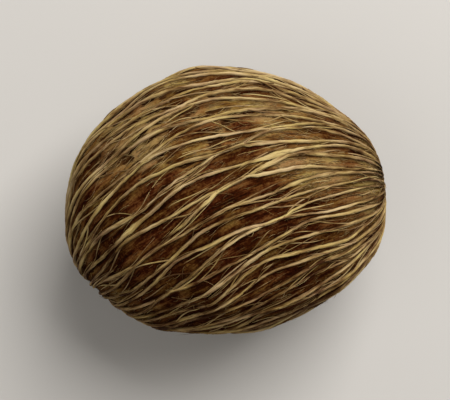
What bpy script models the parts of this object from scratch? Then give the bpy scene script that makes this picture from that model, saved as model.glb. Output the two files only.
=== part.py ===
"""A dried sea mango pod: one egg-shaped fibrous husk, lying on its side on a small flat spot.

The husk grew as one piece, so it is one solid. Its outer fibres run from the stem scar at one end to
the tip at the other, wander, meet and part again, and stand out of the pith between them as a raised
net. The frame has +X along the pod towards its tip end, +Y across it and +Z up. The origin is on the
surface that the pod lies on, under the middle of its box. All sizes are in metres.
"""

import math
import random

import bmesh
import bpy
from mathutils import Matrix, Vector

# Driving dimensions of the whole pod, over its fibres
LENGTH = 0.0892
WIDTH = 0.0733
HEIGHT = 0.0680

# The fibres on the surface
STRANDS = 64
STRAND_WIDTH = 0.00135
STRAND_RISE = 0.00095

# The worn flat spot that the pod lies on is as deep as this cut into the round of its side
FLAT_SPOT_DEPTH = 0.0013

# The pod is slimmer by this share at its tip than at its middle, and as much thicker at its stem
TAPER = 0.03
# One side is flatter: where it faces, how deep it is, and how sharply it ends
FLAT_SIDE = Vector((0.76, 0.62, 0.20)).normalized()
FLAT_SIDE_DEPTH = 0.0017
FLAT_SIDE_SHARPNESS = 6
# Seen from above, the outline bulges a little three times: how far, and where the first bulge faces
BULGES = 3
BULGE_HEIGHT = 0.00055
BULGE_TURN = math.radians(-32.0)
# Slow swellings of the whole husk: height, half waves along, across and up, and start
SWELLINGS = (
    (0.00035, Vector((1.3, 2.0, 2.6)), 0.7),
    (0.00030, Vector((2.4, -1.7, 1.9)), 1.1),
    (0.00020, Vector((3.1, 2.6, -3.2)), 2.3),
)

# Where the fibres gather, off the ends of the long axis: a turn about +Z and a dip below the middle
STEM_TURN = math.radians(26.0)
STEM_DIP = math.radians(20.0)
TIP_TURN = math.radians(1.0)
TIP_DIP = math.radians(8.0)
# How far the fibres wind round the pod on their way, between these shares of the way
WINDING = math.radians(-15.0)
WINDING_STARTS = 0.1
WINDING_ENDS = 0.9

# The stem scar is a shallow dimple, and the tip a low beak
SCAR_RADIUS = 0.0060
SCAR_DEPTH = 0.0012
BEAK_RADIUS = 0.0050
BEAK_HEIGHT = 0.0011

# The waves of a strand, each with the least and the most that is drawn for its height, in mean
# spacings between strands, and for its rate, in radians of the wave for each radian of the way
SEED = 20
WEAVE_HEIGHT = (0.32, 0.56)
WEAVE_RATE = (3.9, 5.9)
WEAVE_SCATTER = 0.8
TREMOR_HEIGHT = (0.04, 0.10)
TREMOR_RATE = (10.0, 14.0)
# The strands drift together, and the drift's start turns this often going once round the pod
DRIFT_HEIGHT = 0.25
DRIFT_RATE = 2.6
DRIFT_TURNS = 3
# A strand's thickness swells and shrinks by this share
SWELL_SHARE = (0.10, 0.25)
SWELL_RATE = (3.0, 5.0)
# How straight the flanks of a wave are: 0 is a sine and 1 a zigzag
STRAIGHTNESS = 0.9

# Neighbouring strands come this near, in mean spacings, and then run as one
CLOSEST = 0.24
UNCROSSING_PASSES = 24
# Strands nearer than this still share a raised foot, of this share of their height
JOINED_GAP = 0.46
JOINED_LIFT = 0.8
# A strand's foot reaches at most this share of the way to its neighbour
FOOT_SHARE = 0.42
# A strand narrower than its natural width times this is lower too
FULL_RISE_WIDTH = 1.3

# The mesh has three columns for each strand, its two feet and its crest, and rings from scar to tip
COLUMNS_PER_STRAND = 3
RINGS = 31

HALF_LENGTH = LENGTH / 2 - 0.8 * STRAND_RISE
HALF_WIDTH = WIDTH / 2 - STRAND_RISE
HALF_HEIGHT = (HEIGHT + FLAT_SPOT_DEPTH) / 2 - STRAND_RISE
# The middle of the globe, where the box of the finished pod is centred over the origin
MIDDLE = Vector((0.0004, -0.0004, (HEIGHT - FLAT_SPOT_DEPTH) / 2))

BROWN = (0.19, 0.11, 0.05, 1.0)
ROUGHNESS = 0.7


def smooth_step(low, high, value):
    """0 below low, 1 above high, and a smooth rise between them."""
    share = min(1.0, max(0.0, (value - low) / (high - low)))
    return share * share * (3 - 2 * share)


def drawn_strands():
    """For each strand, its sideways waves and the wave of its thickness: (height, rate, start).

    Neighbours weave about half a wave apart, so that each strand meets the one on its left, then the
    one on its right. The drift changes little from strand to strand, so that they share it.
    """
    draw = random.Random(SEED)
    strands = []
    for strand in range(STRANDS):
        opposite = math.pi * strand + draw.gauss(0, WEAVE_SCATTER)
        weave = (draw.uniform(*WEAVE_HEIGHT), draw.uniform(*WEAVE_RATE), opposite)
        tremor = (draw.uniform(*TREMOR_HEIGHT), draw.uniform(*TREMOR_RATE), draw.uniform(0, math.tau))
        drift = (DRIFT_HEIGHT, DRIFT_RATE, DRIFT_TURNS * math.tau * strand / STRANDS)
        swell = (draw.uniform(*SWELL_SHARE), draw.uniform(*SWELL_RATE), draw.uniform(0, math.tau))
        strands.append({"wander": (weave, tremor, drift), "swell": swell})
    return strands


STRAND_WAVES = drawn_strands()


def wave(shape, polar):
    """A wave with straight flanks and round tips."""
    height, rate, start = shape
    flank = math.asin(STRAIGHTNESS * math.sin(rate * polar + start))
    return height * flank / math.asin(STRAIGHTNESS)


def crest_places(polar):
    """Each strand's place round the pod at this angle from the scar, in mean spacings, in order.

    The strands wander freely, and where two would cross they are held side by side instead.
    """
    calm = math.sqrt(math.sin(polar))
    places = [
        strand + calm * sum(wave(shape, polar) for shape in waves["wander"])
        for strand, waves in enumerate(STRAND_WAVES)
    ]
    for _ in range(UNCROSSING_PASSES):
        for strand in range(STRANDS):
            after = (strand + 1) % STRANDS
            wrap = STRANDS if after == 0 else 0
            short = CLOSEST - (places[after] + wrap - places[strand])
            if short > 0:
                places[strand] -= short / 2
                places[after] += short / 2
    return places


def pod_direction(polar, longitude):
    """The direction from the pod's middle, for a place on the fibres' own globe."""
    along = Vector(
        (
            -math.cos(polar),
            math.sin(polar) * math.cos(longitude),
            math.sin(polar) * math.sin(longitude),
        )
    )
    towards_tip = (1 - math.cos(polar)) / 2
    turn = STEM_TURN + (TIP_TURN - STEM_TURN) * towards_tip
    dip = (TIP_DIP + STEM_DIP) * towards_tip - STEM_DIP
    return Matrix.Rotation(turn, 3, "Z") @ Matrix.Rotation(dip, 3, "Y") @ along


def bulge_relief(direction):
    """The bulges of the outline, which die away towards the top and the underside."""
    azimuth = math.atan2(direction.y, direction.x)
    sideways = math.hypot(direction.x, direction.y) ** BULGES
    return BULGE_HEIGHT * sideways * math.cos(BULGES * (azimuth - BULGE_TURN))


def pith_radius(direction):
    """From the pod's middle to the surface of the pith, without its fibres."""
    slim = 1 - TAPER * direction.x
    ovoid = 1 / math.sqrt(
        (direction.x / HALF_LENGTH) ** 2
        + (direction.y / (HALF_WIDTH * slim)) ** 2
        + (direction.z / (HALF_HEIGHT * slim)) ** 2
    )
    flatness = FLAT_SIDE_DEPTH * max(0.0, direction.dot(FLAT_SIDE)) ** FLAT_SIDE_SHARPNESS
    swelling = sum(
        height * math.sin(math.pi * waves.dot(direction) + start)
        for height, waves, start in SWELLINGS
    )
    return ovoid - flatness + swelling + bulge_relief(direction)


def end_relief(polar):
    """The dimple of the stem scar and the low beak of the tip, along the radius."""
    from_scar = polar * HALF_LENGTH
    from_tip = (math.pi - polar) * HALF_LENGTH
    dimple = SCAR_DEPTH * (1 - smooth_step(0, SCAR_RADIUS, from_scar))
    beak = BEAK_HEIGHT * (1 - smooth_step(0, BEAK_RADIUS, from_tip))
    return beak - dimple


def surface_point(polar, place, rise):
    """A point of the husk: an angle from the scar, a place in spacings, a height over the pith."""
    winding = WINDING * smooth_step(WINDING_STARTS * math.pi, WINDING_ENDS * math.pi, polar)
    direction = pod_direction(polar, math.tau * place / STRANDS + winding)
    point = MIDDLE + direction * (pith_radius(direction) + end_relief(polar) + rise)
    point.z = max(point.z, 0.0)
    return point


def foot_lift(rise, gap):
    """How high the foot of a strand stands over the pith, between strands that run together."""
    return JOINED_LIFT * rise * (1 - smooth_step(CLOSEST, JOINED_GAP, gap))


def ring_profile(polar):
    """(place, rise) of every column of one ring: each strand's left foot, crest and right foot."""
    crests = crest_places(polar)
    spacing = math.tau * HALF_WIDTH * math.sin(polar) / STRANDS
    columns = []
    for strand, crest in enumerate(crests):
        before = crest - (crests[strand - 1] - (STRANDS if strand == 0 else 0))
        after = crests[(strand + 1) % STRANDS] + (STRANDS if strand == STRANDS - 1 else 0) - crest
        thickness = 1 + wave(STRAND_WAVES[strand]["swell"], polar)
        half_width = STRAND_WIDTH * thickness / 2 / spacing
        left = min(half_width, FOOT_SHARE * before)
        right = min(half_width, FOOT_SHARE * after)
        fullness = min(1.0, (left + right) / (FULL_RISE_WIDTH * half_width))
        rise = STRAND_RISE * thickness * fullness
        columns += [
            (crest - left, foot_lift(rise, before)),
            (crest, rise),
            (crest + right, foot_lift(rise, after)),
        ]
    return columns


def husk_mesh():
    """A globe whose columns are laid along the strands and raised to the husk's surface."""
    columns = STRANDS * COLUMNS_PER_STRAND
    shape = bmesh.new()
    bmesh.ops.create_uvsphere(shape, u_segments=columns, v_segments=RINGS + 1, radius=1.0)
    polars = [math.pi * ring / (RINGS + 1) for ring in range(RINGS + 2)]
    profiles = [ring_profile(polar) for polar in polars[1:-1]]
    for vertex in shape.verts:
        ring = round(math.acos(max(-1.0, min(1.0, vertex.co.z))) / math.pi * (RINGS + 1))
        if ring in (0, RINGS + 1):
            vertex.co = surface_point(polars[ring], 0, 0)
            continue
        turn = math.atan2(vertex.co.y, vertex.co.x) / math.tau
        column = round(turn * columns) % columns
        place, rise = profiles[ring - 1][column]
        vertex.co = surface_point(polars[ring], place, rise)
    # The globe's poles were along Z and are now along X, with its sides changed over
    bmesh.ops.reverse_faces(shape, faces=shape.faces)
    mesh = bpy.data.meshes.new("husk")
    shape.to_mesh(mesh)
    shape.free()
    mesh.shade_smooth()
    return mesh


def husk_material():
    material = bpy.data.materials.new("dry_fibre")
    material.use_nodes = True
    shader = material.node_tree.nodes["Principled BSDF"]
    shader.inputs["Base Color"].default_value = BROWN
    shader.inputs["Roughness"].default_value = ROUGHNESS
    shader.inputs["Metallic"].default_value = 0.0
    material.diffuse_color = BROWN
    return material


def clear_scene():
    for thing in list(bpy.data.objects):
        bpy.data.objects.remove(thing)


def main():
    clear_scene()
    pod = bpy.data.collections.new("sea_mango_pod")
    bpy.context.scene.collection.children.link(pod)
    husk = bpy.data.objects.new("husk", husk_mesh())
    husk.data.materials.append(husk_material())
    pod.objects.link(husk)


main()
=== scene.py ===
"""The looks of a dried sea mango pod: its pith, its net of fibres, and their finish.

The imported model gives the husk. Its fibres follow a rule of seeded waves, which is repeated here in
finer steps, so that every fibre lies where the husk's own does. Sizes are in metres and angles in
radians. A place round the pod is counted in spacings, the mean distance between strands.
"""

import math
import random

import bpy
import numpy as np
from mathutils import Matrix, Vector, noise


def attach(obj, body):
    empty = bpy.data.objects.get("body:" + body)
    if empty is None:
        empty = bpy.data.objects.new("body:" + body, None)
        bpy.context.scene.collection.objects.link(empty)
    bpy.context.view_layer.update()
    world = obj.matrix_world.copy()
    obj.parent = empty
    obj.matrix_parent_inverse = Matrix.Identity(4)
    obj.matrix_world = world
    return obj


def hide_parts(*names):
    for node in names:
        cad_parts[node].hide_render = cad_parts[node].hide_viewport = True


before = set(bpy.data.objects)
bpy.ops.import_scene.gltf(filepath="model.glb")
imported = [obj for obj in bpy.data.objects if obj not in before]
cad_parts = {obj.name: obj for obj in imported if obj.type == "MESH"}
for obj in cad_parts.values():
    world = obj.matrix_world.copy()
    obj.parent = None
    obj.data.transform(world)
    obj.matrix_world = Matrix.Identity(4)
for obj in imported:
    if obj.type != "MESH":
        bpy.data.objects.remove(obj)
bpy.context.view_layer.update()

# The husk and the rule of its fibres, as in its own source
LENGTH = 0.0892
WIDTH = 0.0733
HEIGHT = 0.0680
STRANDS = 64
STRAND_WIDTH = 0.00135
STRAND_RISE = 0.00095
FLAT_SPOT_DEPTH = 0.0013
TAPER = 0.03
FLAT_SIDE = np.array(Vector((0.76, 0.62, 0.20)).normalized())
FLAT_SIDE_DEPTH = 0.0017
FLAT_SIDE_SHARPNESS = 6
BULGES = 3
BULGE_HEIGHT = 0.00055
BULGE_TURN = math.radians(-32.0)
SWELLINGS = (
    (0.00035, (1.3, 2.0, 2.6), 0.7),
    (0.00030, (2.4, -1.7, 1.9), 1.1),
    (0.00020, (3.1, 2.6, -3.2), 2.3),
)
STEM_TURN = math.radians(26.0)
STEM_DIP = math.radians(20.0)
TIP_TURN = math.radians(1.0)
TIP_DIP = math.radians(8.0)
WINDING = math.radians(-15.0)
WINDING_STARTS = 0.1
WINDING_ENDS = 0.9
SCAR_RADIUS = 0.0060
SCAR_DEPTH = 0.0012
BEAK_RADIUS = 0.0050
BEAK_HEIGHT = 0.0011
SEED = 20
WEAVE_HEIGHT = (0.32, 0.56)
WEAVE_RATE = (3.9, 5.9)
WEAVE_SCATTER = 0.8
TREMOR_HEIGHT = (0.04, 0.10)
TREMOR_RATE = (10.0, 14.0)
DRIFT_HEIGHT = 0.25
DRIFT_RATE = 2.6
DRIFT_TURNS = 3
SWELL_SHARE = (0.10, 0.25)
SWELL_RATE = (3.0, 5.0)
STRAIGHTNESS = 0.9
CLOSEST = 0.24
UNCROSSING_PASSES = 24
JOINED_GAP = 0.46
FOOT_SHARE = 0.42
FULL_RISE_WIDTH = 1.3
HALF_LENGTH = LENGTH / 2 - 0.8 * STRAND_RISE
HALF_WIDTH = WIDTH / 2 - STRAND_RISE
HALF_HEIGHT = (HEIGHT + FLAT_SPOT_DEPTH) / 2 - STRAND_RISE
MIDDLE = np.array([0.0004, -0.0004, (HEIGHT - FLAT_SPOT_DEPTH) / 2])

# The table of the net: how many angles it holds, and how near it comes to both ends
TABLE_STEPS = 420
TABLE_END = 0.02
# Strands that run together are drawn this much nearer still, in spacings
JOINED_PULL = 0.085
# A fibre's ends are this share as thick as its middle
THINNEST = 0.08

# The strands, which are made in two pieces
STRANDS_SEED = 11
STRAND_STEPS = 230
STRAND_SIDES = 12
STRAND_PIECES = 2
# A strand's round top is this share as wide as its foot
STRAND_SLIMNESS = 0.57
# Strands begin between these angles from the scar, and end between these angles from the tip
SCAR_ENDS = (0.045, 0.12)
TIP_ENDS_NEAR = 0.05
TIP_ENDS_FAR = 0.42
# They thin out at both ends over this share of their length
STRAND_TAPER = 0.06
# The lengths over which a strand's thickness, wear and kinks change
THICK_LUMPS = 0.006
WORN_LUMPS = 0.012
KINK_LUMPS = 0.0022
# How far kinks push a strand aside, in spacings, and up or down, and how far wear sinks it
KINK_ASIDE = 0.06
KINK_HEIGHT = 0.00006
WORN_DEPTH = 0.00015
# Below this gap, in spacings, two strands begin to count as joined
JOINT_GAP = 0.6
# Threads wind round each strand: how many, how high, and the most that they turn along it
THREADS = 4
THREAD_HEIGHT = 0.09
THREAD_TWIST = 12
STRAND_ROUGHNESS = 0.05
STRAND_TONE_SCATTER = (-0.18, 0.15)

# Thinner fibres between the strands
FINE_SEED = 23
FINE_FIBRES = 640
FINE_STEPS = 26
FINE_SIDES = 5
FINE_LENGTH = (0.010, 0.028)
FINE_HALF_WIDTH = (0.00009, 0.00026)
# Their height as a share of their width
FINE_ROUNDNESS = 0.9
# They start within these cosines of the angle from the scar, and stay this far from the tip
FINE_STARTS = (-0.93, 0.96)
FINE_TIP_GAP = 0.06
# The shares of them that end, or start, between two strands, and where between them
ENDS_BETWEEN = 0.45
STARTS_BETWEEN = 0.25
BETWEEN = (0.25, 0.75)
FINE_TAPER = 0.25
FINE_WAVE = 0.05
FINE_WAVE_RATE = (4, 9)
# They climb a strand within this distance of its crest, and rise and fall by this much
CLIMB_REACH = 0.0004
FINE_UNEVENNESS = 0.00008
# The mean and the scatter of their tones
FINE_TONE = (0.39, 0.15)

# Short threads that lie on the fuzzy pith
FUZZ_SEED = 37
FUZZ_TRIES = 50000
FUZZ_STEPS = 5
FUZZ_SIDES = 3
FUZZ_LENGTH = (0.0010, 0.0042)
FUZZ_HALF_WIDTH = (0.00003, 0.00007)
FUZZ_HEADINGS = (0.10, 0.10, 0.38)
FUZZ_BEND = 0.4
FUZZ_TILT = 0.12
FUZZ_LIFT = 0.00012
FUZZ_FLATNESS = 1.3
# They lie within these cosines of the angle from the scar, and stay this far from both ends
FUZZ_PLACES = (-0.995, 0.995)
FUZZ_END_GAP = 0.05
# The share of tries that is kept on bare pith, what fuzzy pith adds, and what holes take away
FUZZ_ON_BARE = 0.06
FUZZ_ON_FUZZY = 0.55
FUZZ_LOST_IN_HOLES = 0.8
FUZZ_TONE = (0.22, 0.16)

# The scar where the stem broke off: a low pad with a radial grain
SCAR_PAD_ANGLE = 0.085
SCAR_PAD_HEIGHT = 0.0007
SCAR_PAD_FOOT = -0.0004
SCAR_PAD_ROWS = 14
SCAR_PAD_SIDES = 72
# Its rays, how high they are and over what length they bend
SCAR_RAYS = 17
SCAR_RAY_HEIGHT = 0.00008
SCAR_RAY_BENDS = 0.0015
# Its lumps, the size of its patches of tone, the tone of its middle, and how far the grain's
# coordinate runs round it to a spacing
SCAR_LUMP_SIZE = 0.0009
SCAR_LUMP_HEIGHT = 0.00018
SCAR_TONE_PATCH = 0.0011
SCAR_END_TONE = 0.3
SCAR_GRAIN = 0.0004

# Frayed ends of fibres at the tip: the angles from the tip at which they start and end
TIP_SEED = 61
TIP_ENDS = 70
TIP_STEPS = 10
TIP_SIDES = 5
TIP_STARTS = (0.10, 0.22)
TIP_STOPS = (0.004, 0.05)
TIP_HALF_WIDTH = (0.00010, 0.00022)
# Their height as a share of their width, how far they sweep round, in spacings, how they rise
TIP_ROUNDNESS = 0.8
TIP_SWEEP = 1.5
TIP_ARCH = 0.0004
TIP_LIFT = (0, 0.0002)
TIP_TONE = (0.25, 0.75)

# Loose hairs that stand off the strands
HAIR_SEED = 41
HAIRS = 260
HAIR_STEPS = 12
HAIR_SIDES = 4
HAIR_LENGTH = (0.003, 0.009)
HAIR_HALF_WIDTH = 0.00006
HAIR_ROUNDNESS = 1.0
HAIR_LIFT = (0.0, 0.0011)
# They start within these cosines of the angle from the scar, and stay this far from both ends
HAIR_STARTS = (-0.96, 0.96)
HAIR_END_GAP = 0.04
# How far they sweep and wave aside, in spacings
HAIR_SWEEP = 0.6
HAIR_WAVE = 0.15
HAIR_TONE = (0.3, 0.9)

# The pith: its rings, how near they come to both ends, and its points from strand to strand
PITH_RINGS = 184
PITH_END = 0.025
PITH_SHARES = (0.0, 0.09, 0.2, 0.35, 0.5, 0.65, 0.8, 0.91)
# The pith is banked up beside a strand to this share of its height, out to this distance
BANK_SHARE = 0.42
BANK_REACH = 0.00055
# Between joined strands it rises to this share of their height
JOINED_HEIGHT = 0.66
# How uneven the wide ends of such joints are, in spacings, and over what length
JOINT_UNEVENNESS = 0.45
JOINT_LUMPS = 0.005
# The painted shade in the crevice beside a strand fades over this distance
CREVICE_SHADE_REACH = 0.0008
# On the underside the pith stays this far off the surface that the strands lie on
PITH_CLEARANCE = 0.0003
# About the distance between strands round the middle of the pod, for the pith's grain
MIDDLE_SPACING = 0.0034
# Streaks along the grain, crumbs, hollows and shreds of torn skin: their sizes and heights
STREAK_WIDTH = 0.0006
STREAK_LENGTH = 0.0035
STREAK_HEIGHT = 0.00012
CRUMB_SIZE = 0.0010
CRUMB_HEIGHT = 0.00016
HOLLOW_SIZE = 0.0032
HOLLOW_HEIGHT = 0.00014
SHRED_WIDTH = 0.0012
SHRED_LENGTH = 0.0070
SHRED_LIFT = 0.00010
SHRED_HEIGHT = 0.00055
# Torn holes in the fuzzy pith: how wide, how long and how deep they are
HOLE_WIDTH = 0.0012
HOLE_LENGTH = 0.0044
HOLE_DEPTH = 0.0006
# From the first of these places along the pod to the second, this share of them dies away
TORN_FROM = -0.004
TORN_TO = 0.014
HOLES_LOST = 0.8
# The sizes of the large and small patches of golden fuzzy pith
FUZZY_PATCH = 0.013
FUZZY_SPOT = 0.005
# The tip end is woolly and duller from the first of these places along the pod to the second
WOOLLY_FROM = 0.026
WOOLLY_TO = 0.041
TIP_FUZZINESS = 0.45
TIP_DULLNESS = 0.16
# Places on the upper side where the pith is golden and fuzzy, or bare and dark where the strength
# is below zero: along, across, radius, strength
FUZZY_PLACES = (
    (0.018, 0.018, 0.018, 0.22),
    (0.004, 0.003, 0.015, 0.10),
    (-0.002, 0.026, 0.022, 0.12),
    (0.028, 0.006, 0.012, 0.20),
    (-0.010, -0.014, 0.018, -0.35),
    (-0.0200, 0.0185, 0.0085, 0.9),
    (-0.029, 0.015, 0.006, 0.6),
    (-0.003, 0.0245, 0.007, 0.5),
    (0.000, -0.014, 0.008, 0.6),
    (0.026, 0.004, 0.006, 0.6),
    (-0.008, 0.033, 0.008, 0.4),
    (-0.013, -0.010, 0.009, -0.7),
    (0.008, -0.020, 0.007, -0.7),
    (0.009, -0.001, 0.006, -0.5),
)
# Places on the upper side where joined strands are broad, flat and golden, in the same way
GOLDEN_JOINTS = (
    (0.0119, 0.0092, 0.0038, 1.0),
    (0.0155, 0.0115, 0.0030, 0.6),
    (-0.0254, -0.0036, 0.0034, 0.8),
    (0.0181, 0.0029, 0.0032, 0.6),
    (-0.0038, -0.0019, 0.0026, 0.6),
    (0.0047, -0.0158, 0.0028, 0.5),
    (-0.0042, 0.0059, 0.0034, 0.5),
    (-0.0196, 0.0203, 0.0036, 0.9),
    (0.0290, 0.0050, 0.0030, 0.4),
)
# Places on the upper side where the strands are darker, in the same way: painted shade towards the
# lower side of the view, and duller fibre elsewhere
DULL_AND_SHADED_PLACES = (
    (-0.020, -0.024, 0.017, 0.49),
    (0.014, -0.028, 0.015, 0.42),
    (0.030, -0.004, 0.016, 0.16),
    (0.018, 0.018, 0.016, 0.05),
    (-0.032, -0.010, 0.013, 0.20),
    (-0.022, 0.018, 0.014, 0.20),
)

# Colours of the fibres and of the pith, from dark to light, and tints that vary their hue
# FIBRE_DARK is also the colour of the painted shade under each fibre
FIBRE_DARK = (0.035, 0.011, 0.002)
FIBRE_BROWN = (0.140, 0.076, 0.028)
FIBRE_GOLD = (0.325, 0.220, 0.094)
FIBRE_STRAW = (0.505, 0.388, 0.190)
FIBRE_TINTS = ((0.35, (1.0, 0.94, 1.0)), (0.65, (1.0, 0.98, 0.74)))
# PITH_BLACK is also the colour of the painted shade beside each strand
PITH_BLACK = (0.011, 0.003, 0.001)
PITH_MAROON = (0.036, 0.0075, 0.0015)
PITH_HOLE = (0.042, 0.015, 0.004)
PITH_BROWN = (0.105, 0.042, 0.011)
PITH_RUST = (0.185, 0.092, 0.026)
PITH_GOLD = (0.300, 0.198, 0.072)
PITH_TINTS = ((0.35, (1.0, 0.86, 0.90)), (0.65, (0.94, 1.0, 0.80)))

# Floor, lamps and the soft light of the room
FLOOR_SIZE = 4.0
FLOOR_COLOUR = (0.52, 0.495, 0.46, 1.0)
LAMP_SIZE = 0.9
KEY_PLACE = (0.52, 0.62, 0.98)
KEY_POWER = 22.3
FILL_PLACE = (-0.6, -0.2, 1.0)
FILL_POWER = 2.0
ROOM_COLOUR = (1.0, 0.985, 0.96, 1.0)
ROOM_STRENGTH = 0.24

# Camera: it looks straight down, as the photograph does, and the pod rises to the right
CAMERA_HEIGHT = 0.52
CAMERA_TURN = math.radians(-6.3)
VIEW_WIDTH = 0.124
SENSOR_WIDTH = 36.0


def smooth_step(low, high, value):
    """0 below low, 1 above high, and a smooth rise between them."""
    share = np.clip((value - low) / (high - low), 0.0, 1.0)
    return share * share * (3 - 2 * share)


def unit(vectors):
    """The vectors, each scaled to a length of 1."""
    return vectors / np.linalg.norm(vectors, axis=-1, keepdims=True)


def drawn_strands():
    """The waves of every strand, in the husk's own draws: sideways (strands, waves, 3) and swell."""
    draw = random.Random(SEED)
    wander, swells = [], []
    for strand in range(STRANDS):
        opposite = math.pi * strand + draw.gauss(0, WEAVE_SCATTER)
        weave = (draw.uniform(*WEAVE_HEIGHT), draw.uniform(*WEAVE_RATE), opposite)
        tremor = (
            draw.uniform(*TREMOR_HEIGHT),
            draw.uniform(*TREMOR_RATE),
            draw.uniform(0, math.tau),
        )
        drift = (DRIFT_HEIGHT, DRIFT_RATE, DRIFT_TURNS * math.tau * strand / STRANDS)
        swells.append(
            (draw.uniform(*SWELL_SHARE), draw.uniform(*SWELL_RATE), draw.uniform(0, math.tau))
        )
        wander.append((weave, tremor, drift))
    return np.array(wander), np.array(swells)


WANDER, SWELLS = drawn_strands()


def wave(shapes, polar):
    """Waves with straight flanks and round tips."""
    height, rate, start = np.moveaxis(shapes, -1, 0)
    flank = np.arcsin(STRAIGHTNESS * np.sin(rate * polar + start))
    return height * flank / math.asin(STRAIGHTNESS)


def crest_places(polars):
    """(rings, strands) each strand's place round the pod at each angle from the scar."""
    wander = wave(WANDER, polars[:, None, None]).sum(axis=-1)
    places = np.arange(STRANDS) + np.sqrt(np.sin(polars))[:, None] * wander
    for _ in range(UNCROSSING_PASSES):
        for strand in range(STRANDS):
            after = (strand + 1) % STRANDS
            wrap = STRANDS if after == 0 else 0
            gap = places[:, after] + wrap - places[:, strand]
            short = np.maximum(0.0, CLOSEST - gap)
            places[:, strand] -= short / 2
            places[:, after] += short / 2
    return places


def pod_direction(polar, longitude):
    """The direction from the pod's middle, for a place on the fibres' own globe."""
    x = -np.cos(polar)
    y = np.sin(polar) * np.cos(longitude)
    z = np.sin(polar) * np.sin(longitude)
    towards_tip = (1 - np.cos(polar)) / 2
    turn = STEM_TURN + (TIP_TURN - STEM_TURN) * towards_tip
    dip = (TIP_DIP + STEM_DIP) * towards_tip - STEM_DIP
    x, z = x * np.cos(dip) + z * np.sin(dip), z * np.cos(dip) - x * np.sin(dip)
    x, y = x * np.cos(turn) - y * np.sin(turn), x * np.sin(turn) + y * np.cos(turn)
    return np.stack([x, y, z], axis=-1)


def bulge_relief(direction):
    """The bulges of the outline, which die away towards the top and the underside."""
    azimuth = np.arctan2(direction[..., 1], direction[..., 0])
    sideways = np.hypot(direction[..., 0], direction[..., 1]) ** BULGES
    return BULGE_HEIGHT * sideways * np.cos(BULGES * (azimuth - BULGE_TURN))


def pith_radius(direction):
    """From the pod's middle to the surface of the pith, without its fibres."""
    x, y, z = np.moveaxis(direction, -1, 0)
    slim = 1 - TAPER * x
    ovoid = 1 / np.sqrt(
        (x / HALF_LENGTH) ** 2 + (y / (HALF_WIDTH * slim)) ** 2 + (z / (HALF_HEIGHT * slim)) ** 2
    )
    flatness = FLAT_SIDE_DEPTH * np.maximum(0.0, direction @ FLAT_SIDE) ** FLAT_SIDE_SHARPNESS
    swelling = sum(
        height * np.sin(math.pi * (direction @ np.array(waves)) + start)
        for height, waves, start in SWELLINGS
    )
    return ovoid - flatness + swelling + bulge_relief(direction)


def end_relief(polar):
    """The dimple of the stem scar and the low beak of the tip, along the radius."""
    dimple = SCAR_DEPTH * (1 - smooth_step(0, SCAR_RADIUS, polar * HALF_LENGTH))
    beak = BEAK_HEIGHT * (1 - smooth_step(0, BEAK_RADIUS, (math.pi - polar) * HALF_LENGTH))
    return beak - dimple


def surface_points(polar, place, rise):
    """Points of the husk: angles from the scar, places round it, heights over the pith."""
    winding = WINDING * smooth_step(WINDING_STARTS * math.pi, WINDING_ENDS * math.pi, polar)
    direction = pod_direction(polar, math.tau * place / STRANDS + winding)
    radius = pith_radius(direction) + end_relief(polar) + rise
    return MIDDLE + direction * radius[..., None]


def surface_normals(polar, place):
    """Outward normals of the bare pith."""
    step = 1e-3
    bare = 0 * polar
    along = surface_points(polar + step, place, bare) - surface_points(polar - step, place, bare)
    across = surface_points(polar, place + step, bare) - surface_points(polar, place - step, bare)
    return unit(np.cross(across, along))


def laid_down(points, lowest=0.0):
    """The points, with none nearer than this to the surface that the pod lies on, or below it."""
    heights = np.maximum(points[..., 2], lowest)
    return np.stack([points[..., 0], points[..., 1], heights], axis=-1)


def spacing_at(polar):
    """The mean distance between strands, in metres."""
    return math.tau * HALF_WIDTH * np.sin(polar) / STRANDS


def bank_height(distance, rise):
    """How high the pith is banked up at this distance from a strand's crest."""
    return BANK_SHARE * rise * np.exp(-((distance / BANK_REACH) ** 2))


class Net:
    """The strands' places, gaps, widths and heights at every angle, ready to be read between."""

    def __init__(self):
        self.polars = np.linspace(TABLE_END, math.pi - TABLE_END, TABLE_STEPS)
        self.crests = crest_places(self.polars)
        wrapped = np.concatenate([self.crests, self.crests[:, :1] + STRANDS], axis=1)
        self.after = np.diff(wrapped, axis=1)
        self.before = np.roll(self.after, 1, axis=1)
        spacing = spacing_at(self.polars)[:, None]
        thickness = 1 + wave(SWELLS, self.polars[:, None])
        half = STRAND_WIDTH * thickness / 2
        left = np.minimum(half, FOOT_SHARE * self.before * spacing)
        right = np.minimum(half, FOOT_SHARE * self.after * spacing)
        self.half_width = (left + right) / 2
        fullness = np.minimum(1.0, (left + right) / (FULL_RISE_WIDTH * half))
        self.rise = STRAND_RISE * thickness * fullness
        pull = JOINED_PULL * (1 - smooth_step(CLOSEST, JOINED_GAP, self.after))
        self.crests = self.crests + pull - np.roll(pull, 1, axis=1)

    def read(self, table, polar, strand):
        """A table's value for each angle, on one strand. A strand number past the last wraps."""
        return np.interp(polar, self.polars, table[:, strand % STRANDS])

    def crest(self, polar, strand):
        """A strand's place round the pod at each angle."""
        return self.read(self.crests, polar, strand) + STRANDS * (strand // STRANDS)

    def crest_distance(self, polar, place):
        """From each place to the nearest strand's crest, in metres."""
        row = np.searchsorted(self.polars, polar).clip(0, TABLE_STEPS - 1)
        away = np.abs((place[..., None] - self.crests[row] + STRANDS / 2) % STRANDS - STRANDS / 2)
        return away.min(axis=-1) * spacing_at(polar)


NET = Net()


def noise_at(points, size, offset):
    """Smooth noise between about -1 and 1, in lumps of this size. Each offset gives another."""
    shift = Vector((offset, offset * 1.7, -offset))
    flat = (np.asarray(points) / size).reshape(-1, 3)
    values = [noise.noise(Vector(point) + shift) for point in flat]
    return np.array(values).reshape(np.shape(points)[:-1])


def grain_noise(grain, width, length, offset):
    """Smooth noise in lumps of this width across the grain and this length along it."""
    return noise_at(grain / np.array([width, length, 1.0]), 1.0, offset)


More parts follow.
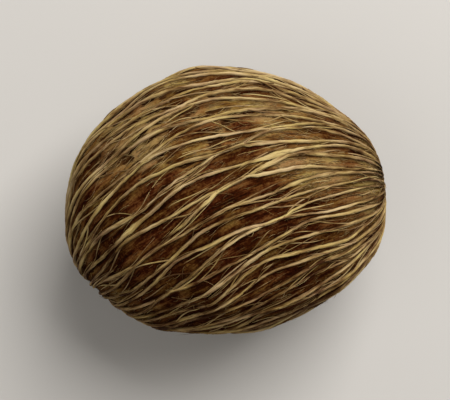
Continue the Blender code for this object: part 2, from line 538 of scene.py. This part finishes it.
def nearness(points, places):
    """The strengths of these places of the upper side, each fading with the distance from it."""
    upper = points[..., 2] > MIDDLE[2]
    total_strength = 0.0 * upper
    for x, y, radius, strength in places:
        away = np.hypot(points[..., 0] - x, points[..., 1] - y) / radius
        total_strength = total_strength + upper * strength * np.exp(-(away**2))
    return total_strength


def near_tip(points):
    """From 0 over most of the pod to 1 at its tip end."""
    return smooth_step(WOOLLY_FROM, WOOLLY_TO, points[..., 0])


def fuzziness(points):
    """How golden and fuzzy the pith is, from 0 to 1."""
    patches = noise_at(points, FUZZY_PATCH, 31.0)
    spots = noise_at(points, FUZZY_SPOT, 7.0)
    fuzzy = 0.9 * patches + 0.5 * spots - 0.05
    fuzzy = fuzzy + TIP_FUZZINESS * near_tip(points)
    return np.clip(fuzzy + nearness(points, FUZZY_PLACES), 0.0, 1.0)


def pith_grain(polar, place):
    """Coordinates that run with the pith's grain: round the pod and along it, in metres."""
    return np.stack([place * MIDDLE_SPACING, polar * HALF_LENGTH, 0 * place], axis=-1)


def torn_holes(points, grain, fuzzy):
    """From 0 to 1 where the fuzzy pith is torn open."""
    torn = grain_noise(grain, HOLE_WIDTH, HOLE_LENGTH, 88.0)
    holes = smooth_step(0.02, 0.30, torn) * smooth_step(0.05, 0.45, fuzzy)
    return holes * (1 - HOLES_LOST * smooth_step(TORN_FROM, TORN_TO, points[..., 0]))


def new_piece(name, vertices, faces, material, numbers, grain):
    """A smooth mesh piece that stands for the husk, with its numbers and grain for each vertex."""
    mesh = bpy.data.meshes.new(name)
    mesh.from_pydata(vertices.reshape(-1, 3).tolist(), [], faces)
    for key, values in numbers.items():
        mesh.attributes.new(key, "FLOAT", "POINT").data.foreach_set("value", values.ravel())
    grains = mesh.attributes.new("grain", "FLOAT_VECTOR", "POINT")
    grains.data.foreach_set("vector", grain.ravel())
    mesh.shade_smooth()
    mesh.materials.append(material)
    piece = bpy.data.objects.new(name, mesh)
    bpy.context.scene.collection.objects.link(piece)
    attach(piece, "root")
    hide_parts("husk")


def rings_along(points, normals, half_width, half_height, sides, lumps=None):
    """Rings of points round each path: (paths, steps, sides, 3). Lumps scale single points."""
    points = laid_down(points, half_height)
    along = unit(np.gradient(points, axis=1))
    across = unit(np.cross(along, normals))
    up = np.cross(across, along)
    angle = np.arange(sides) * math.tau / sides
    wide = half_width[..., None] * np.cos(angle)
    high = half_height[..., None] * np.sin(angle)
    if lumps is not None:
        wide, high = wide * lumps, high * lumps
    sideways = wide[..., None] * across[:, :, None]
    upwards = high[..., None] * up[:, :, None]
    return laid_down(points[:, :, None] + sideways + upwards)


def tube_faces(count, steps, sides):
    """Faces of closed tubes, outwards, with a cap at each end."""
    index = np.arange(count * steps * sides).reshape(count, steps, sides)
    here, ahead = index[:, :-1], index[:, 1:]
    quads = np.stack([here, ahead, np.roll(ahead, -1, axis=2), np.roll(here, -1, axis=2)], axis=-1)
    return quads.reshape(-1, 4).tolist() + index[:, 0].tolist() + index[:, -1, ::-1].tolist()


def tube_values(values, sides):
    """One value for each step of each tube, given to every point of its ring."""
    return np.repeat(values[..., None], sides, axis=-1)


def grain_of(points, across, seeds):
    """Coordinates that run with the fibres: across and along in metres, and a number for each."""
    steps = np.linalg.norm(np.diff(points, axis=1, prepend=points[:, :1]), axis=-1)
    along = np.cumsum(steps, axis=1)
    along = np.broadcast_to(along[..., None], across.shape)
    seeds = np.broadcast_to(seeds[:, None, None], across.shape)
    return np.stack([across, along, seeds], axis=-1)


def fibre_piece(name, points, normals, half_width, half_height, sides, material, tones, lumps=None):
    """A piece of closed tubes, with the values that the fibre material reads."""
    count, steps = points.shape[:2]
    rings = rings_along(points, normals, half_width, half_height, sides, lumps)
    angle = np.arange(sides) * math.tau / sides
    # The crest runs from 0 under a fibre to 1 on top, and the fibre material paints shade where it is
    # low
    crest = np.broadcast_to(0.5 + 0.5 * np.sin(angle), (count, steps, sides))
    across = half_width[..., None] * angle
    grain = grain_of(points, across, np.arange(count) * 0.37)
    numbers = {"crest": crest, "tone": tube_values(tones, sides)}
    faces = tube_faces(count, steps, sides)
    new_piece(name, rings, faces, material, numbers, grain)


def thin_fibre_piece(name, fibres, roundness, sides, material):
    """A piece of thin fibres, each given by its angles, places, heights, half widths and tones."""
    polar, place, height, half_width, tones = map(np.array, zip(*fibres))
    points = surface_points(polar, place, height)
    normals = surface_normals(polar, place)
    half_height = roundness * half_width
    fibre_piece(name, points, normals, half_width, half_height, sides, material, tones)


def tapered(steps, start, end):
    """A share for each step, from near 0 at both ends to 1, over these shares of the length."""
    way = np.linspace(0, 1, steps)
    thickening = (1 - THINNEST) * smooth_step(0, start, way)
    return THINNEST + thickening * smooth_step(0, end, 1 - way)


def add_strands(material):
    """The main fibres, each sunk in the pith, round on top, knotty and made of finer threads."""
    draw = np.random.default_rng(STRANDS_SEED)
    angle = np.arange(STRAND_SIDES) * math.tau / STRAND_SIDES
    points, normals, wide, high, lumps, tones = [], [], [], [], [], []
    for strand in range(STRANDS):
        scar_end = draw.uniform(*SCAR_ENDS)
        tip_end = TIP_ENDS_NEAR + (TIP_ENDS_FAR - TIP_ENDS_NEAR) * draw.random() ** 2
        polar = np.linspace(scar_end, math.pi - tip_end, STRAND_STEPS)
        place = NET.crest(polar, strand)
        rise = NET.read(NET.rise, polar, strand)
        half_width = STRAND_SLIMNESS * NET.read(NET.half_width, polar, strand)
        route = surface_points(polar, place, rise)
        thick = noise_at(route, THICK_LUMPS, 3.0 + strand)
        worn = 1.5 * noise_at(route, WORN_LUMPS, 90.0 + strand)
        kinks = noise_at(route, KINK_LUMPS, 40.0 + strand)
        place = place + KINK_ASIDE * kinks * np.sin(polar)
        taper = tapered(STRAND_STEPS, STRAND_TAPER, STRAND_TAPER)
        golden = nearness(route, GOLDEN_JOINTS)
        gap = np.minimum(NET.read(NET.after, polar, strand), NET.read(NET.before, polar, strand))
        joint = 1 - smooth_step(CLOSEST, JOINT_GAP, gap)
        half_width = half_width * (1.0 + 0.42 * thick + 0.12 * worn + 0.20 * joint)
        half_width = half_width * (1.0 + 0.9 * golden) * taper
        half_height = rise * (0.62 - 0.05 * worn - 0.15 * golden) * taper
        sunk = WORN_DEPTH * smooth_step(0.3, 0.9, -worn) + KINK_HEIGHT * kinks
        points.append(surface_points(polar, place, rise - half_height - sunk))
        normals.append(surface_normals(polar, place))
        wide.append(half_width)
        high.append(half_height)
        twist = draw.uniform(0, math.tau) + draw.uniform(-1, 1) * THREAD_TWIST * polar
        threads = THREAD_HEIGHT * np.cos(THREADS * angle + twist[:, None])
        roughness = STRAND_ROUGHNESS * draw.normal(size=(STRAND_STEPS, STRAND_SIDES))
        lumps.append(1 + threads + roughness)
        # Painted shade towards the lower side of the view, and duller fibre in other places and at
        # the woolly tip, lower the tone
        dull_and_shaded = nearness(route, DULL_AND_SHADED_PLACES) + TIP_DULLNESS * near_tip(route)
        tone = 0.61 + 0.26 * worn + 0.24 * thick + 0.12 * joint + 0.5 * golden - dull_and_shaded
        tones.append(np.clip(tone + draw.uniform(*STRAND_TONE_SCATTER), 0, 1))
    share = STRANDS // STRAND_PIECES
    for number in range(STRAND_PIECES):
        some = slice(number * share, (number + 1) * share)
        fibre_piece(
            f"strands_{number + 1}",
            np.array(points[some]),
            np.array(normals[some]),
            np.array(wide[some]),
            np.array(high[some]),
            STRAND_SIDES,
            material,
            np.array(tones[some]),
            np.array(lumps[some]),
        )


def add_fine_fibres(material):
    """Thinner fibres: some cross the pith from one strand to the next, some end or run between."""
    draw = np.random.default_rng(FINE_SEED)
    way = np.linspace(0, 1, FINE_STEPS)
    thickness = 0.35 + 0.65 * tapered(FINE_STEPS, FINE_TAPER, FINE_TAPER)
    fibres = []
    for _ in range(FINE_FIBRES):
        strand = int(draw.integers(STRANDS))
        start = math.acos(draw.uniform(*FINE_STARTS))
        polar = start + way * draw.uniform(*FINE_LENGTH) / HALF_LENGTH
        polar = np.minimum(polar, math.pi - FINE_TIP_GAP)
        here, there = NET.crest(polar, strand), NET.crest(polar, strand + 1)
        leaves, joins = draw.choice([0.0, 1.0], 2, replace=False)
        if draw.random() < ENDS_BETWEEN:
            joins = draw.uniform(*BETWEEN)
        if draw.random() < STARTS_BETWEEN:
            leaves = draw.uniform(*BETWEEN)
        share = leaves + (joins - leaves) * smooth_step(0, 1, way)
        wander = np.sin(draw.uniform(0, math.tau) + draw.uniform(*FINE_WAVE_RATE) * way)
        share = share + FINE_WAVE * wander
        place = here + (there - here) * share
        rise = NET.read(NET.rise, polar, strand)
        off = np.minimum(np.abs(share), np.abs(1 - share)) * (there - here) * spacing_at(polar)
        half = draw.uniform(*FINE_HALF_WIDTH) * thickness
        climb = 0.35 * rise * np.exp(-((off / CLIMB_REACH) ** 2))
        uneven = FINE_UNEVENNESS * np.sin(7 * way + start * 30)
        height = bank_height(off, rise) + climb + 0.6 * half + uneven
        tones = np.clip(np.full(FINE_STEPS, draw.normal(*FINE_TONE)), 0.1, 0.8)
        fibres.append((polar, place, height, half, tones))
    thin_fibre_piece("fine_fibres", fibres, FINE_ROUNDNESS, FINE_SIDES, material)


def add_fuzz(material):
    """Short flat threads that lie about on the pith, most where it is fuzzy."""
    draw = np.random.default_rng(FUZZ_SEED)
    polar = np.arccos(draw.uniform(*FUZZ_PLACES, FUZZ_TRIES))
    place = draw.uniform(0, STRANDS, FUZZ_TRIES)
    surface = surface_points(polar, place, 0 * polar)
    fuzzy = fuzziness(surface)
    whole = 1 - FUZZ_LOST_IN_HOLES * torn_holes(surface, pith_grain(polar, place), fuzzy)
    kept = draw.random(FUZZ_TRIES) < whole * (FUZZ_ON_BARE + FUZZ_ON_FUZZY * fuzzy)
    polar, place, fuzzy = polar[kept], place[kept], fuzzy[kept]
    count = len(polar)
    way = np.linspace(-0.5, 0.5, FUZZ_STEPS)
    length = draw.uniform(*FUZZ_LENGTH, count)
    heading = draw.normal(0, 1, count) * draw.choice(FUZZ_HEADINGS, count)
    bend = draw.normal(0, FUZZ_BEND, count)
    turn = heading[:, None] + bend[:, None] * way
    forward = length[:, None] * way * np.cos(turn)
    sideways = length[:, None] * way * np.sin(turn)
    polar = (polar[:, None] + forward / HALF_LENGTH).clip(FUZZ_END_GAP, math.pi - FUZZ_END_GAP)
    place = place[:, None] + sideways / spacing_at(polar)
    half = draw.uniform(*FUZZ_HALF_WIDTH, count)[:, None] * (1 - 1.2 * way**2)
    tilt = draw.normal(0, FUZZ_TILT, count)[:, None] * length[:, None] * way
    height = bank_height(NET.crest_distance(polar, place), STRAND_RISE) + FUZZ_LIFT + tilt
    points = surface_points(polar, place, height)
    normals = surface_normals(polar, place)
    tones = np.clip(draw.normal(*FUZZ_TONE, count) + 0.22 * fuzzy, 0, 1)
    tones = np.repeat(tones[:, None], FUZZ_STEPS, axis=1)
    half_width = FUZZ_FLATNESS * half
    fibre_piece("fuzz", points, normals, half_width, half, FUZZ_SIDES, material, tones)


def globe_faces(rows, columns):
    """Faces of a closed globe, outwards, from its rings and then a point at each end."""
    index = np.arange(rows * columns).reshape(rows, columns)
    here, ahead = index[:-1], index[1:]
    quads = np.stack([here, np.roll(here, -1, 1), np.roll(ahead, -1, 1), ahead], axis=-1)
    start, end = rows * columns, rows * columns + 1
    first, last = index[0], index[-1]
    fans = [[start, b, a] for a, b in zip(first.tolist(), np.roll(first, -1).tolist())]
    fans += [[end, a, b] for a, b in zip(last.tolist(), np.roll(last, -1).tolist())]
    return quads.reshape(-1, 4).tolist() + fans


def globe_piece(name, rings, ends, material, numbers, end_number, grain):
    """A closed globe, with one number for both its end points in place of all the others."""
    vertices = np.concatenate([rings.reshape(-1, 3), ends])
    numbers = {key: np.append(values, [end_number] * 2) for key, values in numbers.items()}
    grain = np.concatenate([grain.reshape(-1, 3), np.zeros((2, 3))])
    new_piece(name, vertices, globe_faces(*rings.shape[:2]), material, numbers, grain)


def add_stem_scar(material):
    """A low closed pad in the dimple at the stem end, with a radial grain."""
    out = np.linspace(0.0, 1.0, SCAR_PAD_ROWS + 1)[1:]
    share = np.concatenate([out, out[-2::-1]])[:, None]
    top = (np.arange(len(share)) < SCAR_PAD_ROWS)[:, None]
    polar = SCAR_PAD_ANGLE * share + np.zeros(SCAR_PAD_SIDES)
    place = np.arange(SCAR_PAD_SIDES) * STRANDS / SCAR_PAD_SIDES + 0 * polar
    flat = surface_points(polar, place, 0 * polar)
    bends = 3 * noise_at(flat, SCAR_RAY_BENDS, 8.0)
    radial = np.cos(place * math.tau / STRANDS * SCAR_RAYS + bends)
    lumps = noise_at(flat, SCAR_LUMP_SIZE, 5.0)
    uneven = SCAR_LUMP_HEIGHT * lumps + SCAR_RAY_HEIGHT * radial * share
    height = np.where(top, SCAR_PAD_HEIGHT * (1 - share**5) + uneven, SCAR_PAD_FOOT)
    rings = surface_points(polar, place, height)
    end_heights = np.array([SCAR_PAD_HEIGHT, SCAR_PAD_FOOT])
    ends = surface_points(np.zeros(2), np.zeros(2), end_heights)
    # The pad's crest sets the fibre material's painted shade: a little on its top, full on its hidden
    # underside
    numbers = {
        "crest": np.where(top, 0.75, 0.0) + 0 * polar,
        "tone": 0.25 + 0.5 * noise_at(flat, SCAR_TONE_PATCH, 9.0),
    }
    outwards = SCAR_PAD_ANGLE * HALF_LENGTH * share + 0 * polar
    grain = np.stack([place * SCAR_GRAIN, outwards, 0 * polar], axis=-1)
    globe_piece("stem_scar", rings, ends, material, numbers, SCAR_END_TONE, grain)


def add_tip_ends(material):
    """Frayed ends of fibres that gather at the tip."""
    draw = np.random.default_rng(TIP_SEED)
    way = np.linspace(0, 1, TIP_STEPS)
    fibres = []
    for _ in range(TIP_ENDS):
        start, end = draw.uniform(*TIP_STARTS), draw.uniform(*TIP_STOPS)
        polar = math.pi - start + (start - end) * way
        place = draw.uniform(0, STRANDS) + draw.normal(0, TIP_SWEEP) * way**2
        half = draw.uniform(*TIP_HALF_WIDTH) * (1.05 - way**2)
        height = TIP_ARCH * np.sin(math.pi * way) + draw.uniform(*TIP_LIFT) * way**2
        tones = np.full(TIP_STEPS, draw.uniform(*TIP_TONE))
        fibres.append((polar, place, height, half, tones))
    thin_fibre_piece("tip_ends", fibres, TIP_ROUNDNESS, TIP_SIDES, material)


def add_hairs(material):
    """Loose hairs that leave a strand and stand a little off the husk."""
    draw = np.random.default_rng(HAIR_SEED)
    way = np.linspace(0, 1, HAIR_STEPS)
    fibres = []
    for _ in range(HAIRS):
        strand = int(draw.integers(STRANDS))
        start = math.acos(draw.uniform(*HAIR_STARTS))
        length = draw.uniform(*HAIR_LENGTH) * draw.choice([-1, 1])
        polar = (start + way * length / HALF_LENGTH).clip(HAIR_END_GAP, math.pi - HAIR_END_GAP)
        rise = NET.read(NET.rise, polar, strand)
        sweep = draw.normal(0, HAIR_SWEEP) * way**2
        sideways = sweep + draw.normal(0, HAIR_WAVE) * np.sin(5 * way)
        place = NET.crest(polar, strand) + sideways
        height = 0.75 * rise + draw.uniform(*HAIR_LIFT) * way**1.5
        half = HAIR_HALF_WIDTH * (1.1 - way**2)
        tones = np.full(HAIR_STEPS, draw.uniform(*HAIR_TONE))
        fibres.append((polar, place, height, half, tones))
    thin_fibre_piece("hairs", fibres, HAIR_ROUNDNESS, HAIR_SIDES, material)


def add_pith(material):
    """The pith under and between the fibres: a closed globe, raised where strands run together."""
    polars = np.linspace(PITH_END, math.pi - PITH_END, PITH_RINGS)
    around = range(STRANDS + 1)
    crests = np.stack([NET.crest(polars, strand) for strand in around], axis=1)
    rises = np.stack([NET.read(NET.rise, polars, strand) for strand in around], axis=1)
    gap = np.diff(crests, axis=1)
    shares = np.array(PITH_SHARES)
    place = crests[:, :-1, None] + gap[..., None] * shares
    rise = rises[:, :-1, None] * (1 - shares) + rises[:, 1:, None] * shares
    nearest = np.minimum(shares, 1 - shares) * gap[..., None] * spacing_at(polars)[:, None, None]
    banked = bank_height(nearest, 1.0)
    smooth = surface_points(polars[:, None, None] + 0 * place, place, 0 * place)
    halfway = smooth[:, :, PITH_SHARES.index(0.5)]
    uneven = np.maximum(0, noise_at(halfway, JOINT_LUMPS, 77.0))
    reach = JOINED_GAP + JOINT_UNEVENNESS * uneven
    closeness = (1 - smooth_step(CLOSEST, reach, gap))[..., None]
    joined = JOINED_HEIGHT * closeness * np.ones_like(shares)
    height = rise * np.maximum(banked, joined)
    columns = STRANDS * len(shares)
    polar = np.repeat(polars[:, None], columns, axis=1)
    place = place.reshape(PITH_RINGS, columns)
    smooth = smooth.reshape(PITH_RINGS, columns, 3)
    grain = pith_grain(polar, place)
    streaks = grain_noise(grain, STREAK_WIDTH, STREAK_LENGTH, 5.0)
    crumbs = noise_at(smooth, CRUMB_SIZE, 2.0)
    hollows = noise_at(smooth, HOLLOW_SIZE, 12.0)
    fuzzy = fuzziness(smooth)
    shreds = grain_noise(grain, SHRED_WIDTH, SHRED_LENGTH, 66.0)
    relief = STREAK_HEIGHT * streaks + CRUMB_HEIGHT * crumbs + HOLLOW_HEIGHT * hollows
    relief = relief + (SHRED_LIFT + SHRED_HEIGHT * shreds) * (0.25 + 0.75 * fuzzy)
    holes = torn_holes(smooth, grain, fuzzy)
    relief = relief - HOLE_DEPTH * holes
    height = height.reshape(PITH_RINGS, columns) + relief
    rings = laid_down(surface_points(polar, place, height), PITH_CLEARANCE)
    ends = surface_points(np.array([0.0, math.pi]), np.zeros(2), np.zeros(2))
    # Painted shade for the crevice beside each strand, none between joined strands
    crevice_shade = np.exp(-((nearest / CREVICE_SHADE_REACH) ** 2))
    numbers = {
        "fuzzy": fuzzy,
        "shreds": shreds,
        "fibrous": np.maximum(joined, 0.35 * banked),
        "painted_crevice_shade": crevice_shade * (1 - joined / JOINED_HEIGHT),
        "holes": holes,
    }
    globe_piece("pith", rings, ends, material, numbers, 0.0, grain)


def node(tree, kind, inputs=None, **settings):
    """A shader node with its settings, and its inputs set or linked."""
    made = tree.nodes.new(kind)
    for key, value in settings.items():
        setattr(made, key, value)
    for key, value in (inputs or {}).items():
        if isinstance(value, bpy.types.NodeSocket):
            tree.links.new(value, made.inputs[key])
        else:
            made.inputs[key].default_value = value
    return made


def ramp(tree, value, stops):
    """Colours between stops of (position, colour)."""
    made = node(tree, "ShaderNodeValToRGB", {"Fac": value})
    elements = made.color_ramp.elements
    while len(elements) < len(stops):
        elements.new(0.5)
    for element, (position, colour) in zip(elements, stops):
        element.position = position
        element.color = (*colour, 1.0)
    return made.outputs["Color"]


def math_node(tree, operation, first, second=0.0, third=0.0, clamp=False):
    """The result of one sum on sockets or numbers."""
    inputs = {0: first, 1: second, 2: third}
    return node(tree, "ShaderNodeMath", inputs, operation=operation, use_clamp=clamp).outputs[0]


def mixed(tree, share, first, second, blend="MIX"):
    """Two colours, each a socket or plain numbers, mixed by this share of the second."""
    made = node(tree, "ShaderNodeMix", {"Factor": share}, data_type="RGBA", blend_type=blend)
    for key, value in ((6, first), (7, second)):
        if isinstance(value, bpy.types.NodeSocket):
            tree.links.new(value, made.inputs[key])
        else:
            made.inputs[key].default_value = (*value, 1.0)
    return made.outputs[2]


def total(tree, base, parts):
    """A base plus each value times its share."""
    for value, share in parts:
        base = math_node(tree, "MULTIPLY_ADD", value, share, third=base)
    return base


def attribute(tree, name, output="Fac"):
    """What a piece's mesh says under this name."""
    return node(tree, "ShaderNodeAttribute", attribute_name=name).outputs[output]


def texture_noise(tree, vector, scale, detail, roughness=0.55):
    """Noise from 0 to 1 with this many lumps to a unit."""
    inputs = {"Vector": vector, "Scale": scale, "Detail": detail, "Roughness": roughness}
    return node(tree, "ShaderNodeTexNoise", inputs).outputs["Fac"]


def grain_texture(tree, grain, scales, detail):
    """Noise that runs with the grain: lumps to a metre across it and along it, and to a fibre."""
    made = node(tree, "ShaderNodeVectorMath", {0: grain, 1: scales}, operation="MULTIPLY")
    return texture_noise(tree, made.outputs[0], 1.0, detail)


def add_bump(tree, shader, height, strength, distance):
    """Fine relief from a height, for the shader's normals."""
    inputs = {"Height": height, "Strength": strength, "Distance": distance}
    bump = node(tree, "ShaderNodeBump", inputs)
    tree.links.new(bump.outputs["Normal"], shader.inputs["Normal"])


def new_material(name, roughness, specular):
    """A material with its node tree and its shader."""
    material = bpy.data.materials.new(name)
    material.use_nodes = True
    shader = material.node_tree.nodes["Principled BSDF"]
    shader.inputs["Roughness"].default_value = roughness
    shader.inputs["Specular IOR Level"].default_value = specular
    return material, material.node_tree, shader


def fibre_material():
    """Dry fibre: brown to straw with streaks along it, with painted shade that darkens each fibre
    below its crest.
    """
    material, tree, shader = new_material("dry_fibre", roughness=0.66, specular=0.06)
    grain = attribute(tree, "grain", "Vector")
    threads = grain_texture(tree, grain, (9000, 420, 1), 2.0)
    streaks = grain_texture(tree, grain, (2600, 260, 1), 3.0)
    blotches = grain_texture(tree, grain, (500, 140, 1), 2.0)
    hues = grain_texture(tree, grain, (150, 90, 3), 1.0)
    tones = ((attribute(tree, "tone"), 0.75), (streaks, 1.1), (blotches, 0.9), (threads, 0.5))
    stops = ((0.10, FIBRE_DARK), (0.32, FIBRE_BROWN), (0.58, FIBRE_GOLD), (0.90, FIBRE_STRAW))
    colour = ramp(tree, total(tree, -1.07, tones), stops)
    colour = mixed(tree, 1.0, colour, ramp(tree, hues, FIBRE_TINTS), "MULTIPLY")
    # Painted shade: each fibre's colour turns to FIBRE_DARK from its flanks down to where it meets
    # the pith
    crest = attribute(tree, "crest")
    painted_foot_shade = node(tree, "ShaderNodeMapRange", {"Value": crest, "From Min": 0.30, "From Max": 0.85})
    colour = mixed(tree, painted_foot_shade.outputs[0], FIBRE_DARK, colour)
    tree.links.new(colour, shader.inputs["Base Color"])
    height = total(tree, 0.0, ((threads, 0.5), (streaks, 1.0)))
    add_bump(tree, shader, height, strength=0.8, distance=0.00025)
    return material


def pith_material():
    """Pith: dark red-brown and grainy, rusty or golden where it is fuzzy or fibrous, with painted
    shade beside the strands.
    """
    material, tree, shader = new_material("dark_pith", roughness=0.90, specular=0.01)
    place = node(tree, "ShaderNodeTexCoord").outputs["Object"]
    grain = attribute(tree, "grain", "Vector")
    crumbs = texture_noise(tree, place, 1500.0, 3.0, 0.6)
    clumps = texture_noise(tree, place, 330.0, 3.0)
    streaks = grain_texture(tree, grain, (1700, 220, 1), 3.0)
    runs = grain_texture(tree, grain, (520, 75, 1), 2.0)
    threads = grain_texture(tree, grain, (7000, 500, 1), 2.0)
    tones = (
        (attribute(tree, "fuzzy"), 0.69),
        (attribute(tree, "shreds"), 0.35),
        (runs, 0.90),
        (clumps, 0.35),
        (crumbs, 0.55),
        (streaks, 0.70),
        (threads, 0.45),
    )
    stops = (
        (0.00, PITH_BLACK),
        (0.22, PITH_MAROON),
        (0.42, PITH_BROWN),
        (0.64, PITH_RUST),
        (0.95, PITH_GOLD),
    )
    colour = ramp(tree, total(tree, -1.225, tones), stops)
    hues = grain_texture(tree, grain, (220, 80, 1), 1.0)
    colour = mixed(tree, 1.0, colour, ramp(tree, hues, PITH_TINTS), "MULTIPLY")
    # Torn holes are darker, with ragged edges
    edges = ((attribute(tree, "holes"), 1.0), (crumbs, 0.4), (streaks, 0.9), (threads, 1.1))
    ragged = total(tree, -1.44, edges)
    inside = math_node(tree, "MULTIPLY", ragged, 3.0, clamp=True)
    colour = mixed(tree, inside, colour, PITH_HOLE)
    # Webs of fibre lie between strands that run together
    webs = total(tree, -0.85, ((attribute(tree, "fibrous"), 1.6), (streaks, 1.3)))
    webs = math_node(tree, "MULTIPLY", webs, 1.6, clamp=True)
    web_stops = ((0.30, FIBRE_DARK), (0.50, FIBRE_BROWN), (0.70, FIBRE_GOLD))
    colour = mixed(tree, webs, colour, ramp(tree, streaks, web_stops))
    # Painted shade: the crevice beside each strand is darkened towards PITH_BLACK
    crevice_shade_share = math_node(tree, "MULTIPLY", attribute(tree, "painted_crevice_shade"), 0.90)
    colour = mixed(tree, crevice_shade_share, colour, PITH_BLACK)
    tree.links.new(colour, shader.inputs["Base Color"])
    height = total(tree, 0.0, ((crumbs, 0.8), (streaks, 0.5), (threads, 0.5)))
    add_bump(tree, shader, height, strength=0.9, distance=0.0004)
    return material


def add_floor():
    """A plain pale tabletop."""
    bpy.ops.mesh.primitive_plane_add(size=FLOOR_SIZE, location=(0, 0, 0))
    floor = bpy.context.object
    floor.name = "floor"
    material, _, shader = new_material("pale_floor", roughness=0.6, specular=0.3)
    shader.inputs["Base Color"].default_value = FLOOR_COLOUR
    floor.data.materials.append(material)


def add_light(name, place, power):
    """A large soft lamp that shines on the pod's middle."""
    light = bpy.data.lights.new(name, "AREA")
    light.size = LAMP_SIZE
    light.energy = power
    lamp = bpy.data.objects.new(name, light)
    lamp.location = place
    towards = Vector((0, 0, MIDDLE[2])) - Vector(place)
    lamp.rotation_euler = towards.to_track_quat("-Z", "Y").to_euler()
    bpy.context.scene.collection.objects.link(lamp)


def add_lights():
    """A key lamp at the back right, a weak fill and a soft room."""
    add_light("key", KEY_PLACE, KEY_POWER)
    add_light("fill", FILL_PLACE, FILL_POWER)
    world = bpy.data.worlds.new("soft_room")
    world.use_nodes = True
    sky = world.node_tree.nodes["Background"]
    sky.inputs["Color"].default_value = ROOM_COLOUR
    sky.inputs["Strength"].default_value = ROOM_STRENGTH
    bpy.context.scene.world = world


def add_camera():
    """It looks straight down on the pod's middle."""
    data = bpy.data.cameras.new("camera")
    camera = bpy.data.objects.new("camera", data)
    camera.location = (0, 0, CAMERA_HEIGHT)
    camera.rotation_euler = (0, 0, CAMERA_TURN)
    data.sensor_width = SENSOR_WIDTH
    data.lens = SENSOR_WIDTH * (CAMERA_HEIGHT - MIDDLE[2]) / VIEW_WIDTH
    bpy.context.scene.collection.objects.link(camera)
    bpy.context.scene.camera = camera


fibre = fibre_material()
pith = pith_material()
add_pith(pith)
add_strands(fibre)
add_fine_fibres(fibre)
add_fuzz(fibre)
add_stem_scar(fibre)
add_tip_ends(fibre)
add_hairs(fibre)
add_floor()
add_lights()
add_camera()
bpy.context.scene.view_settings.view_transform = "Standard"
